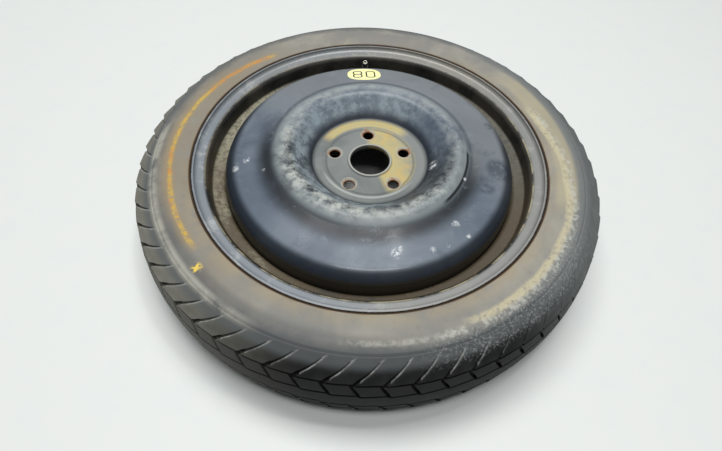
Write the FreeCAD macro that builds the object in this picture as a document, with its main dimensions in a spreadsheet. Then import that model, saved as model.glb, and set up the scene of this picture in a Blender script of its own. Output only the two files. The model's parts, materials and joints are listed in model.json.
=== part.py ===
import FreeCAD, Part
import math
import os
import re
import Sketcher

# Temporary spare wheel: a narrow tyre on a rolled steel rim with a pressed steel disc.
# The wheel axis is Z, the street side is up, and the origin is the centre of the hub mounting face.
# Lengths are in millimetres and angles in degrees.
SIZES = {
    # Rim, measured on the skin that carries the tyre
    "wheel_offset": 42.0,
    "rim_gauge": 2.6,
    "flange_height": 17.3,
    "flange_lip": 0.7,
    "flange_round": 8.5,
    "seat_radius": 218.3,
    "seat_half_width": 50.8,
    "seat_width": 21.8,
    "seat_taper": 5.0,
    "well_depth": 20.3,
    "well_inner_half": 12.0,
    # Tyre
    "section_height": 96.7,
    "crown_round": 150.0,
    "crown_slope": 10.0,
    "tread_half_width": 48.0,
    "tread_thickness": 13.0,
    "shoulder_round": 16.0,
    "shoulder_foot_drop": 24.0,
    "shoulder_foot_step": 12.0,
    "foot_round": 30.0,
    "bulge_rise": 33.7,
    "bulge_swell": 13.2,
    "bulge_round": 40.0,
    "sidewall_thickness": 7.5,
    "shoulder_thickness": 16.0,
    "liner_belly_rise": 10.0,
    "liner_shoulder_step": 1.9,
    "bead_gap": 0.1,
    "bead_width": 16.0,
    "bead_height": 20.0,
    "bead_thickness": 12.0,
    "lip_tuck": 0.6,
    "groove_width": 3.6,
    "groove_depth": 5.0,
    "outer_groove_half": 37.5,
    "inner_groove_half": 15.0,
    # Disc, measured on its street face
    "disc_gauge": 4.0,
    "bore_radius": 27.05,
    "bore_lip_wall": 3.2,
    "bore_lip_height": 7.0,
    "hub_pad_margin": 9.0,
    "hub_step_run": 7.0,
    "hub_step_rise": 2.8,
    "hub_floor_width": 10.6,
    "hat_wall_run": 27.4,
    "hat_top_width": 15.5,
    "hat_round": 9.0,
    "hat_fall": 6.9,
    "hat_fall_run": 13.1,
    "cone_height": 28.5,
    "cone_slope": 15.0,
    "dome_round": 22.0,
    "disc_fit": 0.05,
    "skirt_past_middle": 3.0,
    # Wheel bolts
    "bolt_circle": 100.0,
    "bolt_count": 5,
    "bolt_hole_radius": 7.25,
    "bolt_seat_radius": 10.2,
    "bolt_seat_depth": 2.4,
    "bolt_azimuth": 95.5,
    # Welds between disc and rim
    "weld_leg": 4.2,
    "weld_angle": 26.0,
    "weld_count": 8,
    # Speed sticker
    "sticker_length": 50.0,
    "sticker_width": 28.0,
    "sticker_thickness": 0.15,
    "sticker_outward": 2.0,
    "sticker_spare": 4.0,
    "sticker_azimuth": 96.2,
    # Valve, measured along its own axis from the tyre side of the rim ledge
    "valve_azimuth": 95.0,
    "valve_tilt": 12.0,
    "valve_hole_radius": 5.75,
    "valve_clearance": 0.05,
    "valve_foot_radius": 8.5,
    "valve_foot_length": 7.0,
    "valve_foot_gap": 0.7,
    "valve_foot_taper": 1.7,
    "valve_bead_radius": 7.2,
    "valve_bead_length": 3.4,
    "valve_sleeve_radius": 5.0,
    "valve_sleeve_flare": 0.5,
    "valve_sleeve_end": 18.5,
    "stem_start": 3.0,
    "stem_root_radius": 3.0,
    "stem_thread_radius": 3.85,
    "stem_end": 27.8,
    "stem_chamfer": 0.55,
    "air_radius": 1.7,
    "seat_start": 12.0,
    "seat_end": 14.5,
    "chamber_radius": 2.1,
    "core_thread_radius": 2.65,
    "core_thread_start": 21.5,
    "barrel_radius": 1.43,
    "barrel_bore": 0.95,
    "barrel_start": 11.5,
    "barrel_end": 21.8,
    "barrel_neck_bore": 0.65,
    "barrel_neck_length": 1.2,
    "collar_length": 1.0,
    "core_clearance": 0.03,
    "plug_length": 3.6,
    "plug_bore": 0.8,
    "pin_radius": 0.4,
    "pin_end": 26.8,
    "pin_collar_radius": 0.8,
    "pin_collar_length": 0.6,
    "cup_radius": 1.35,
    "cup_length": 1.3,
    "washer_length": 0.55,
    "spring_radius": 0.7,
    "spring_wire": 0.12,
    "spring_length": 6.0,
    "spring_turns": 4,
}

doc = FreeCAD.newDocument("spare_wheel")
sheet = doc.addObject("Spreadsheet::Sheet", "Sizes")
for row, (alias, value) in enumerate(SIZES.items(), start=1):
    sheet.set("A%d" % row, alias)
    sheet.set("B%d" % row, str(value))
    sheet.setAlias("B%d" % row, alias)
doc.recompute()

UPRIGHT = FreeCAD.Rotation(FreeCAD.Vector(1, 0, 0), 90)
nodes = {}


def bound(text):
    """The expression with each size's name pointed at the sheet."""
    def link(found):
        word = found.group()
        return "Sizes." + word if word in SIZES else word
    return re.sub(r"[a-z_]+", link, text)


def number(text):
    """The expression's present value."""
    return float(sheet.evalExpression(bound(text)))


def bind(obj, **sizes):
    for name, text in sizes.items():
        obj.setExpression(name, bound(text))


def outline(sketch, corners, closed=True):
    """Draw corners of (across, up, round) as lines, with a tangent arc at each rounded corner."""
    places = [FreeCAD.Vector(number(x), number(y), 0) for x, y, _ in corners]
    last = len(corners) - 1
    starts = list(places)
    ends = list(places)
    arcs = {}
    for i, (_, _, rounding) in enumerate(corners):
        if rounding is None:
            continue
        back = (places[i - 1] - places[i]).normalize()
        ahead = (places[(i + 1) % len(places)] - places[i]).normalize()
        half = back.getAngle(ahead) / 2
        radius = number(rounding)
        ends[i] = places[i] + back * (radius / math.tan(half))
        starts[i] = places[i] + ahead * (radius / math.tan(half))
        inward = (back + ahead).normalize()
        centre = places[i] + inward * (radius / math.sin(half))
        middle = centre - inward * radius
        left_turn = back.cross(ahead).z < 0
        arcs[i] = (Part.Arc(ends[i], middle, starts[i]), left_turn)
    lines = {}
    for i in range(len(corners) if closed else last):
        after = (i + 1) % len(corners)
        lines[i] = sketch.addGeometry(Part.LineSegment(starts[i], ends[after]), False)

    def pin(index, pos, corner):
        for kind, text in (("DistanceX", corner[0]), ("DistanceY", corner[1])):
            value = number(text)
            made = sketch.addConstraint(Sketcher.Constraint(kind, -1, 1, index, pos, value))
            sketch.setExpression("Constraints[%d]" % made, bound(text))

    for i, corner in enumerate(corners):
        before = lines.get((i - 1) % len(corners) if closed else i - 1)
        after = lines.get(i)
        if i not in arcs:
            if before is not None and after is not None:
                sketch.addConstraint(Sketcher.Constraint("Coincident", before, 2, after, 1))
            if after is not None:
                pin(after, 1, corner)
            else:
                pin(before, 2, corner)
            continue
        point = sketch.addGeometry(Part.Point(places[i]), True)
        pin(point, 1, corner)
        sketch.addConstraint(Sketcher.Constraint("PointOnObject", point, 1, before))
        sketch.addConstraint(Sketcher.Constraint("PointOnObject", point, 1, after))
        curve, left_turn = arcs[i]
        arc = sketch.addGeometry(curve, False)
        first, second = (1, 2) if left_turn else (2, 1)
        sketch.addConstraint(Sketcher.Constraint("Tangent", before, 2, arc, first))
        sketch.addConstraint(Sketcher.Constraint("Tangent", arc, second, after, 1))
        made = sketch.addConstraint(Sketcher.Constraint("Radius", arc, number(corner[2])))
        sketch.setExpression("Constraints[%d]" % made, bound(corner[2]))


def origin_feature(body, role):
    return next(item for item in body.Origin.OriginFeatures if item.Role == role)


def body_sketch(body, name, corners, plane="XZ_Plane"):
    sketch = body.newObject("Sketcher::SketchObject", name)
    sketch.AttachmentSupport = [(origin_feature(body, plane), "")]
    sketch.MapMode = "FlatFace"
    outline(sketch, corners)
    return sketch


def revolved_body(name, corners, angle=None):
    """A body turned about its own Z axis from one closed section."""
    body = doc.addObject("PartDesign::Body", name)
    sketch = body_sketch(body, name + "_section", corners)
    turn = body.newObject("PartDesign::Revolution", name + "_turn")
    turn.Profile = sketch
    turn.ReferenceAxis = (sketch, ["V_Axis"])
    turn.Angle = 360
    if angle is not None:
        bind(turn, Angle=angle)
    doc.recompute()
    return body


def pressed_sheet(name, path, gauge):
    """A rolled or pressed sheet: a path on one skin, thickened to the other and turned about Z."""
    sketch = doc.addObject("Sketcher::SketchObject", name + "_path")
    sketch.Placement = FreeCAD.Placement(FreeCAD.Vector(), UPRIGHT)
    outline(sketch, path, closed=False)
    section = doc.addObject("Part::Offset2D", name + "_section")
    section.Source = sketch
    section.Mode = "Skin"
    section.Join = "Intersection"
    section.Fill = True
    bind(section, Value=gauge)
    turned = doc.addObject("Part::Revolution", name + "_turned")
    turned.Source = section
    turned.Axis = (0, 0, 1)
    turned.Angle = 360
    doc.recompute()
    return turned


def rectangle(inner, outer, low, high):
    return [(inner, low, None), (outer, low, None), (outer, high, None), (inner, high, None)]


def keep(name, obj):
    obj.Label = name
    nodes[name] = obj


# Radii and half widths that several pieces share
mid_plane = "-wheel_offset"
flange_radius = "(seat_radius + flange_height)"
flange_half = "(seat_half_width + flange_round + flange_lip)"
well_radius = "(seat_radius - well_depth)"
tyre_radius = "(seat_radius + section_height)"
bulge_radius = "(seat_radius + bulge_rise)"
bulge_half = "(seat_half_width + bulge_swell)"

# Tyre: one moulded ring, hollow, open between its two beads
crown_apex = tyre_radius + " + crown_round * (1 / cos(crown_slope) - 1)"
tread_edge = "%s - tread_half_width * tan(crown_slope)" % crown_apex


def tyre_half(sign):
    """Section corners from the tread edge down to the bead toe, on one side of the mid plane."""
    def up(text):
        return "%s %s (%s)" % (mid_plane, sign, text)
    seat = "seat_half_width - bead_gap"
    return [
        (tread_edge, up("tread_half_width"), "shoulder_round"),
        (tread_edge + " - shoulder_foot_drop", up("tread_half_width + shoulder_foot_step"), "foot_round"),
        (bulge_radius, up(bulge_half), "bulge_round"),
        (flange_radius + " + bead_gap", up(flange_half + " - lip_tuck"), None),
        (flange_radius + " + bead_gap", up(seat), None),
        ("seat_radius + bead_gap", up(seat), None),
        ("seat_radius + bead_gap - bead_width * tan(seat_taper)", up(seat + " - bead_width"), None),
    ]


def liner_half(sign):
    """Section corners of the air side, from the bead up to the tread."""
    def up(text):
        return "%s %s (%s)" % (mid_plane, sign, text)
    return [
        ("seat_radius + bead_height", up(flange_half + " - bead_thickness"), None),
        (bulge_radius + " + liner_belly_rise", up(bulge_half + " - sidewall_thickness"), None),
        (tread_edge + " - shoulder_thickness", up("tread_half_width + liner_shoulder_step"), None),
    ]


tyre_corners = [(crown_apex, mid_plane, "crown_round")]
tyre_corners += tyre_half("+") + liner_half("+")
tyre_corners += [(crown_apex + " - tread_thickness", mid_plane, None)]
tyre_corners += liner_half("-")[::-1] + tyre_half("-")[::-1]
tyre = revolved_body("tyre", tyre_corners)
outer_top = crown_apex + " - outer_groove_half * tan(crown_slope)"
inner_top = tyre_radius + " - crown_round + sqrt(crown_round ^ 2 - inner_groove_half ^ 2)"
for place, top, middle in (
        ("upper_outer", outer_top, mid_plane + " + outer_groove_half"),
        ("upper_inner", inner_top, mid_plane + " + inner_groove_half"),
        ("lower_inner", inner_top, mid_plane + " - inner_groove_half"),
        ("lower_outer", outer_top, mid_plane + " - outer_groove_half")):
    cut_sketch = body_sketch(tyre, place + "_groove_section", rectangle(
        top + " - groove_depth", tyre_radius + " + groove_depth",
        middle + " - groove_width / 2", middle + " + groove_width / 2"))
    cut = tyre.newObject("PartDesign::Groove", place + "_groove")
    cut.Profile = cut_sketch
    cut.ReferenceAxis = (cut_sketch, ["V_Axis"])
    cut.Angle = 360
    doc.recompute()
keep("tyre", tyre)

# Rim: rolled sheet with two flanges, tapered bead seats, a ledge for the valve and a drop centre
ledge_top = "seat_radius - seat_width * tan(seat_taper)"
ledge_half = "(seat_half_width - seat_width)"
ledge_fall = "(%s - %s) * tan(valve_tilt)" % (ledge_top, well_radius)
rim_path = [
    (flange_radius, "%s + %s" % (mid_plane, flange_half), None),
    (flange_radius, mid_plane + " + seat_half_width", "flange_round"),
    ("seat_radius", mid_plane + " + seat_half_width", None),
    (ledge_top, "%s + %s" % (mid_plane, ledge_half), None),
    (well_radius, "%s + %s - %s" % (mid_plane, ledge_half, ledge_fall), None),
    (well_radius, mid_plane + " - well_inner_half", None),
    (ledge_top, "%s - %s" % (mid_plane, ledge_half), None),
    ("seat_radius", mid_plane + " - seat_half_width", None),
    (flange_radius, mid_plane + " - seat_half_width", "flange_round"),
    (flange_radius, "%s - %s" % (mid_plane, flange_half), None),
]
rolled = pressed_sheet("rim", rim_path, "-rim_gauge")

# The valve stands on the ledge, square to it
valve_radius = well_radius + " + valve_foot_radius + valve_foot_gap"
valve_drop = "(%s - (%s)) * tan(valve_tilt)" % (ledge_top, valve_radius)
valve_height = "%s + %s - %s" % (mid_plane, ledge_half, valve_drop)
valve_turn = FreeCAD.Rotation(FreeCAD.Vector(0, 0, 1), number("valve_azimuth"))
valve_lean = FreeCAD.Rotation(FreeCAD.Vector(0, 1, 0), -number("valve_tilt"))
valve_place = FreeCAD.Placement(
    valve_turn.multVec(FreeCAD.Vector(number(valve_radius), 0, number(valve_height))),
    valve_turn.multiply(valve_lean),
)
print("valve base", valve_place.Base, "axis", valve_place.Rotation.multVec(FreeCAD.Vector(0, 0, 1)))

valve_drill = doc.addObject("Part::Cylinder", "valve_drill")
bind(valve_drill, Radius="valve_hole_radius", Height="valve_foot_length * 2")
valve_drill.Placement = valve_place.multiply(
    FreeCAD.Placement(FreeCAD.Vector(0, 0, -number("valve_foot_length")), FreeCAD.Rotation()))
rim = doc.addObject("Part::Cut", "rim")
rim.Base = rolled
rim.Tool = valve_drill
keep("rim", rim)

# Disc: one pressing with a stepped hub face, a hat, a cone and a skirt that fits in the well
skirt_radius = "(%s - rim_gauge - disc_fit)" % well_radius
skirt_end = mid_plane + " - skirt_past_middle"
pad_radius = "bolt_circle / 2 + hub_pad_margin"
step_radius = pad_radius + " + hub_step_run"
floor_radius = step_radius + " + hub_floor_width"
hat_inner = floor_radius + " + hat_wall_run"
hat_outer = hat_inner + " + hat_top_width"
cone_radius = "(%s + hat_fall_run)" % hat_outer
hub_floor = "disc_gauge + hub_step_rise"
hat_height = "cone_height + hat_fall"


def cone_at(radius):
    return "cone_height - (%s - %s) * tan(cone_slope)" % (radius, cone_radius)


disc_path = [
    ("bore_radius", "disc_gauge", None),
    (pad_radius, "disc_gauge", None),
    (step_radius, hub_floor, None),
    (floor_radius, hub_floor, None),
    (hat_inner, hat_height, "hat_round"),
    (hat_outer, hat_height, "hat_round"),
    (cone_radius, "cone_height", None),
    (skirt_radius, cone_at(skirt_radius), "dome_round"),
    (skirt_radius, skirt_end, None),
]
pressing = pressed_sheet("wheel_disc", disc_path, "-disc_gauge")
lip = doc.addObject("Part::Cylinder", "bore_lip")
bind(lip, Radius="bore_radius + bore_lip_wall", Height="bore_lip_height")
blank = doc.addObject("Part::Fuse", "disc_blank")
blank.Base = pressing
blank.Tool = lip
drills = []
bore = doc.addObject("Part::Cylinder", "hub_bore")
bind(bore, Radius="bore_radius", Height="bore_lip_height * 3")
bore.Placement.Base = FreeCAD.Vector(0, 0, -number("bore_lip_height"))
drills.append(bore)
for hole in range(int(number("bolt_count"))):
    angle = math.radians(number("bolt_azimuth") + hole * 360 / number("bolt_count"))
    reach = number("bolt_circle / 2")
    spot = FreeCAD.Vector(reach * math.cos(angle), reach * math.sin(angle), 0)
    drill = doc.addObject("Part::Cylinder", "bolt_drill_%d" % (hole + 1))
    bind(drill, Radius="bolt_hole_radius", Height="disc_gauge * 3")
    drill.Placement.Base = spot - FreeCAD.Vector(0, 0, number("disc_gauge"))
    seat = doc.addObject("Part::Cone", "bolt_seat_%d" % (hole + 1))
    bind(seat, Radius1="bolt_hole_radius", Radius2="bolt_seat_radius", Height="bolt_seat_depth")
    seat.Placement.Base = spot + FreeCAD.Vector(0, 0, number("disc_gauge - bolt_seat_depth"))
    drills += [drill, seat]
drilling = doc.addObject("Part::MultiFuse", "disc_drilling")
drilling.Shapes = drills
disc = doc.addObject("Part::Cut", "wheel_disc")
disc.Base = blank
disc.Tool = drilling
keep("wheel_disc", disc)

# Weld runs in the corner between the skirt's end and the well
weld_top = skirt_end + " - disc_fit"
weld_corners = [
    (skirt_radius, weld_top, None),
    (skirt_radius + " - weld_leg", weld_top, None),
    (skirt_radius, weld_top + " - weld_leg", None),
]
welds = revolved_body("weld_beads", weld_corners, angle="weld_angle")
weld_turn = welds.Tip
runs = welds.newObject("PartDesign::PolarPattern", "weld_runs")
runs.Originals = [weld_turn]
runs.Axis = (origin_feature(welds, "Z_Axis"), [""])
runs.Angle = 360
bind(runs, Occurrences="weld_count")
welds.Tip = runs
keep("weld_beads", welds)

# Sticker: a thin oval lying on the cone
sticker_radius = "(%s + %s) / 2 + sticker_outward" % (cone_radius, skirt_radius)


def on_cone(radius, above):
    return "%s + (%s) / cos(cone_slope)" % (cone_at(radius), above)


inner_edge = "(%s - sticker_width / 2 - sticker_spare)" % sticker_radius
outer_edge = "(%s + sticker_width / 2 + sticker_spare)" % sticker_radius
skin = revolved_body("sticker_skin", [
    (inner_edge, on_cone(inner_edge, "disc_fit"), None),
    (outer_edge, on_cone(outer_edge, "disc_fit"), None),
    (outer_edge, on_cone(outer_edge, "disc_fit + sticker_thickness"), None),
    (inner_edge, on_cone(inner_edge, "disc_fit + sticker_thickness"), None),
])
oval = doc.addObject("Part::Ellipse", "sticker_oval")
bind(oval, MajorRadius="sticker_length / 2", MinorRadius="sticker_width / 2")
sticker_turn = FreeCAD.Rotation(FreeCAD.Vector(0, 0, 1), number("sticker_azimuth") - 90)
oval.Placement = FreeCAD.Placement(
    sticker_turn.multVec(FreeCAD.Vector(0, number(sticker_radius), 0)), sticker_turn)
cutter = doc.addObject("Part::Extrusion", "sticker_cutter")
cutter.Base = oval
cutter.DirMode = "Custom"
cutter.Dir = (0, 0, 1)
cutter.Solid = True
bind(cutter, LengthFwd=hat_height)
sticker = doc.addObject("Part::Common", "sticker")
sticker.Base = skin
sticker.Tool = cutter
keep("sticker", sticker)

# Valve: rubber snap-in body, metal stem, and the core that screws into the stem
street_side = "(rim_gauge + valve_clearance)"
neck = "valve_hole_radius - valve_clearance"
valve_sections = {
    "valve_rubber": [
        ("air_radius", "-valve_foot_length", None),
        ("valve_foot_radius - valve_foot_taper", "-valve_foot_length", None),
        ("valve_foot_radius", "-valve_foot_length / 2", None),
        ("valve_foot_radius", "-valve_clearance", None),
        (neck, "-valve_clearance", None),
        (neck, street_side, None),
        ("valve_bead_radius", street_side, None),
        ("valve_bead_radius", street_side + " + valve_bead_length / 2", None),
        ("valve_sleeve_radius + valve_sleeve_flare", street_side + " + valve_bead_length", None),
        ("valve_sleeve_radius", "valve_sleeve_end", None),
        ("stem_root_radius", "valve_sleeve_end", None),
        ("stem_root_radius", "stem_start", None),
        ("air_radius", "stem_start", None),
    ],
    "valve_stem": [
        ("air_radius", "stem_start", None),
        ("stem_root_radius", "stem_start", None),
        ("stem_root_radius", "valve_sleeve_end", None),
        ("stem_thread_radius", "valve_sleeve_end", None),
        ("stem_thread_radius", "stem_end - stem_chamfer", None),
        ("stem_thread_radius - stem_chamfer", "stem_end", None),
        ("core_thread_radius", "stem_end", None),
        ("core_thread_radius", "core_thread_start", None),
        ("chamber_radius", "core_thread_start", None),
        ("chamber_radius", "seat_end", None),
        ("air_radius", "seat_start", None),
    ],
    "core_seal": [
        ("barrel_radius + core_clearance", "seat_start", None),
        ("air_radius - core_clearance", "seat_start", None),
        ("chamber_radius - core_clearance", "seat_end", None),
        ("barrel_radius + core_clearance", "seat_end", None),
    ],
    "core_barrel": [
        ("barrel_neck_bore", "barrel_start", None),
        ("barrel_radius", "barrel_start", None),
        ("barrel_radius", "seat_end + core_clearance", None),
        ("chamber_radius - core_clearance", "seat_end + core_clearance", None),
        ("chamber_radius - core_clearance", "seat_end + core_clearance + collar_length", None),
        ("barrel_radius", "seat_end + core_clearance + collar_length", None),
        ("barrel_radius", "barrel_end", None),
        ("barrel_bore", "barrel_end", None),
        ("barrel_bore", "barrel_start + barrel_neck_length", None),
        ("barrel_neck_bore", "barrel_start + barrel_neck_length", None),
    ],
    "core_plug": rectangle(
        "plug_bore", "core_thread_radius - core_clearance",
        "barrel_end + core_clearance", "barrel_end + core_clearance + plug_length"),
}
for name, corners in valve_sections.items():
    piece = revolved_body(name, corners)
    piece.Placement = valve_place
    keep(name, piece)

# Pin: the sprung piece of the core, with the cup that carries the sealing washer
spring_foot = "barrel_start + barrel_neck_length + core_clearance"
collar_foot = spring_foot + " + spring_length + core_clearance"
washer_top = "barrel_start - core_clearance"
cup_top = washer_top + " - washer_length - core_clearance"
pin = doc.addObject("PartDesign::Body", "core_pin")
pin_sketch = body_sketch(pin, "core_pin_section", [
    ("0", cup_top + " - cup_length", None),
    ("cup_radius", cup_top + " - cup_length", None),
    ("cup_radius", cup_top, None),
    ("pin_radius", cup_top, None),
    ("pin_radius", collar_foot, None),
    ("pin_collar_radius", collar_foot, None),
    ("pin_collar_radius", collar_foot + " + pin_collar_length", None),
    ("pin_radius", collar_foot + " + pin_collar_length", None),
    ("pin_radius", "pin_end", None),
    ("0", "pin_end", None),
])
pin_turn = pin.newObject("PartDesign::Revolution", "core_pin_turn")
pin_turn.Profile = pin_sketch
pin_turn.ReferenceAxis = (pin_sketch, ["V_Axis"])
pin_turn.Angle = 360
pin.Placement = valve_place
keep("core_pin", pin)
washer = revolved_body("cup_washer", rectangle(
    "pin_radius + core_clearance", "cup_radius", washer_top + " - washer_length", washer_top))
washer.Placement = valve_place
keep("cup_washer", washer)

# Spring: a round wire wound between the barrel's neck and the pin's collar
coil_length = "(spring_length - 2 * spring_wire)"
coil = doc.addObject("Part::Helix", "spring_path")
bind(coil, Radius="spring_radius", Height=coil_length, Pitch=coil_length + " / spring_turns")
coil.SegmentLength = 0.5
doc.recompute()
wire = doc.addObject("Part::Circle", "spring_wire")
bind(wire, Radius="spring_wire")
wire.Placement = FreeCAD.Placement(FreeCAD.Vector(number("spring_radius"), 0, 0), UPRIGHT)
spring = doc.addObject("Part::Sweep", "core_spring")
spring.Sections = [wire]
spring.Spine = (coil, ["Edge%d" % (part + 1) for part in range(len(coil.Shape.Edges))])
spring.Solid = True
spring.Frenet = True
doc.recompute()
spring.Placement = valve_place.multiply(
    FreeCAD.Placement(FreeCAD.Vector(0, 0, number(spring_foot + " + spring_wire")), FreeCAD.Rotation()))
keep("core_spring", spring)

doc.recompute()
for obj in doc.Objects:
    if "Invalid" in obj.State or "Error" in obj.State:
        raise RuntimeError("failed object: " + obj.Name)
for name, obj in nodes.items():
    if obj.Shape.isNull() or not obj.Shape.isValid() or not obj.Shape.Solids:
        raise RuntimeError("bad shape: " + name)

os.makedirs("parts", exist_ok=True)
for name, obj in nodes.items():
    box = obj.Shape.BoundBox
    print("%-14s solids %2d  volume %12.2f  z %8.2f to %8.2f  x %8.2f to %8.2f" % (
        name, len(obj.Shape.Solids), obj.Shape.Volume, box.ZMin, box.ZMax, box.XMin, box.XMax))
    obj.Shape.exportStep("parts/%s.step" % name)
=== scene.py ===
import bpy
import bmesh
import json
import math
from mathutils import Matrix, Vector


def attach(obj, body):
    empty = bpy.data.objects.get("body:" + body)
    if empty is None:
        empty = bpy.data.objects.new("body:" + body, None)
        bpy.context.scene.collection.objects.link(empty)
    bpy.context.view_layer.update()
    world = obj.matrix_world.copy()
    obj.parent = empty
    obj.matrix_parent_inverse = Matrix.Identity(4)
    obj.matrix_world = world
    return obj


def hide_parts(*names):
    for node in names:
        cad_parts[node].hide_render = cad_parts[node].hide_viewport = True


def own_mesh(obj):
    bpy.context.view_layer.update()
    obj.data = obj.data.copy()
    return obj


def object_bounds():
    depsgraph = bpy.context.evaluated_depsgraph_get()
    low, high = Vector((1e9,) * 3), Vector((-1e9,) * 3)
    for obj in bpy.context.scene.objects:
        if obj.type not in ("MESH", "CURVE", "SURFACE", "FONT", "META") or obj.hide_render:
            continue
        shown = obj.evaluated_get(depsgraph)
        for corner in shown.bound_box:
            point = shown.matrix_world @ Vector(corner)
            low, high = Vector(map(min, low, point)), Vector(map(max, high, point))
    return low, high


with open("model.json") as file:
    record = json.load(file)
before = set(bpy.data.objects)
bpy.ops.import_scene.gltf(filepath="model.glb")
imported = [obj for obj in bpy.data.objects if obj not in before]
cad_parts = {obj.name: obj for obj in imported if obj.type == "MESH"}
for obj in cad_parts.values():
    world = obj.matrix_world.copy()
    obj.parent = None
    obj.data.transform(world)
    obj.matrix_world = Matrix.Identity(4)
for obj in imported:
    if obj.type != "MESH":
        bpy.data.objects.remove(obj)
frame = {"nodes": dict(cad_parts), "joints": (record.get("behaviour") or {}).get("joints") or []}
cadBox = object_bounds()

mm = 0.001
fullTurn = 2 * math.pi
nodes = frame["nodes"]
print("frame loaded with", len(nodes), "nodes")


# Shader maths

class Flow:
    # one socket of a material, so that maths reads as plain expressions
    def __init__(self, tree, socket=None):
        self.tree = tree
        self.socket = socket

    def node(self, kind, settings=None, sockets=None, out=0):
        made = self.tree.nodes.new(kind)
        for name, value in (settings or {}).items():
            setattr(made, name, value)
        for name, value in (sockets or {}).items():
            if isinstance(value, Flow):
                self.tree.links.new(value.socket, made.inputs[name])
            else:
                made.inputs[name].default_value = value
        return Flow(self.tree, made.outputs[out])

    def math(self, operation, *values):
        return self.node("ShaderNodeMath", {"operation": operation}, dict(enumerate(values)))

    def __add__(self, other): return self.math("ADD", self, other)
    def __radd__(self, other): return self.math("ADD", other, self)
    def __sub__(self, other): return self.math("SUBTRACT", self, other)
    def __rsub__(self, other): return self.math("SUBTRACT", other, self)
    def __mul__(self, other): return self.math("MULTIPLY", self, other)
    def __rmul__(self, other): return self.math("MULTIPLY", other, self)
    def __truediv__(self, other): return self.math("DIVIDE", self, other)


def tint(red, green, blue):
    # screen colour of 0 to 255 to the linear colour that a shader takes
    def straight(level):
        share = level / 255
        return share / 12.92 if share <= 0.04045 else ((share + 0.055) / 1.055) ** 2.4
    return (straight(red), straight(green), straight(blue))


def shades(table):
    return {name: tint(*levels) for name, levels in table.items()}


class Finish:
    # a material with the wheel's own coordinates: x, y, z in mm, radius and azimuth about the axle
    def __init__(self, name):
        self.material = bpy.data.materials.new(name)
        self.material.use_nodes = True
        self.tree = self.material.node_tree
        self.shader = self.tree.nodes["Principled BSDF"]
        self.flow = Flow(self.tree)
        self.place = self.flow.node("ShaderNodeTexCoord", out="Object")
        parts = self.flow.node("ShaderNodeSeparateXYZ", None, {0: self.place})
        split = parts.socket.node
        self.x, self.y, self.z = (Flow(self.tree, split.outputs[i]) * 1000.0 for i in range(3))
        self.radius = self.flow.math("SQRT", self.x * self.x + self.y * self.y)

    def step(self, value, low, high):
        # 0 below low and 1 above high, smooth between; low may be the larger
        start, end = (0.0, 1.0) if low <= high else (1.0, 0.0)
        return self.flow.node("ShaderNodeMapRange", {"interpolation_type": "SMOOTHSTEP"}, {
            0: value, 1: min(low, high), 2: max(low, high), 3: start, 4: end})

    def band(self, value, middle, half, soft):
        return self.step(self.flow.math("ABSOLUTE", value - middle), half + soft, half)

    def sector(self, azimuth, half, soft):
        # 1 within half degrees of the azimuth, falling to 0 over soft degrees
        return self.step(self.along(azimuth), math.cos(math.radians(min(180.0, half + soft))),
                         math.cos(math.radians(half)))

    def along(self, azimuth):
        # cosine of the angle from the azimuth about the axle
        angle = math.radians(azimuth)
        return (self.x * math.cos(angle) + self.y * math.sin(angle)) / self.radius

    def larger(self, first, second):
        return self.flow.math("MAXIMUM", first, second)

    def spot(self, radius, azimuth, height, size, soft):
        # 1 within size mm of a point given about the axle
        angle = math.radians(azimuth)
        apart = self.flow.node("ShaderNodeVectorMath", {"operation": "DISTANCE"}, {
            0: self.place,
            1: (radius * math.cos(angle) * mm, radius * math.sin(angle) * mm, height * mm),
        }, out="Value")
        return self.step(apart * 1000.0, size + soft, size)

    def noise(self, perMetre, detail=4.0, rough=0.55, distortion=0.0):
        return self.flow.node("ShaderNodeTexNoise", None, {
            "Vector": self.place, "Scale": perMetre, "Detail": detail, "Roughness": rough,
            "Distortion": distortion})

    def mix(self, under, over, share):
        return self.flow.node("ShaderNodeMix", {"data_type": "RGBA"}, {
            0: share, 6: self.colour(under), 7: self.colour(over)}, out=2)

    def colour(self, value):
        return value if isinstance(value, Flow) else (*value, 1.0)

    def bump(self, height, strength, depth):
        return self.flow.node("ShaderNodeBump", None, {
            "Height": height, "Strength": strength, "Distance": depth * mm})

    def set(self, **inputs):
        for name, value in inputs.items():
            socket = self.shader.inputs[name.replace("_", " ")]
            if isinstance(value, Flow):
                self.tree.links.new(value.socket, socket)
            elif name == "Base_Color":
                socket.default_value = (*value, 1.0)
            else:
                socket.default_value = value
        return self.material


# Modelling helpers

def onAxis(radius, height):
    return Vector((radius * mm, 0.0, height * mm))


def roundedPath(bm, corners, closed=False, segments=8):
    # corners of (radius, height, rounding) in mm, as one wire with rounded corners
    verts = [bm.verts.new(onAxis(r, z)) for r, z, _ in corners]
    edges = [bm.edges.new(pair) for pair in zip(verts, verts[1:])]
    if closed:
        edges.append(bm.edges.new((verts[-1], verts[0])))
    count = len(corners)
    for i, (r, z, rounding) in enumerate(corners):
        if not rounding:
            continue
        here = onAxis(r, z)
        back = onAxis(*corners[i - 1][:2]) - here
        ahead = onAxis(*corners[(i + 1) % count][:2]) - here
        reach = rounding * mm / math.tan(back.angle(ahead) / 2)
        bmesh.ops.bevel(bm, geom=[verts[i]], offset=reach, offset_type="OFFSET", affect="VERTICES",
                        segments=segments, profile=0.5, material=-1, clamp_overlap=False)
    bm.verts.ensure_lookup_table()


def turned(bm, steps):
    # one full turn of the wire about the axle
    bmesh.ops.spin(bm, geom=bm.verts[:] + bm.edges[:], cent=(0, 0, 0), axis=(0, 0, 1), dvec=(0, 0, 0),
                   angle=fullTurn, steps=steps, use_merge=True)


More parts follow.
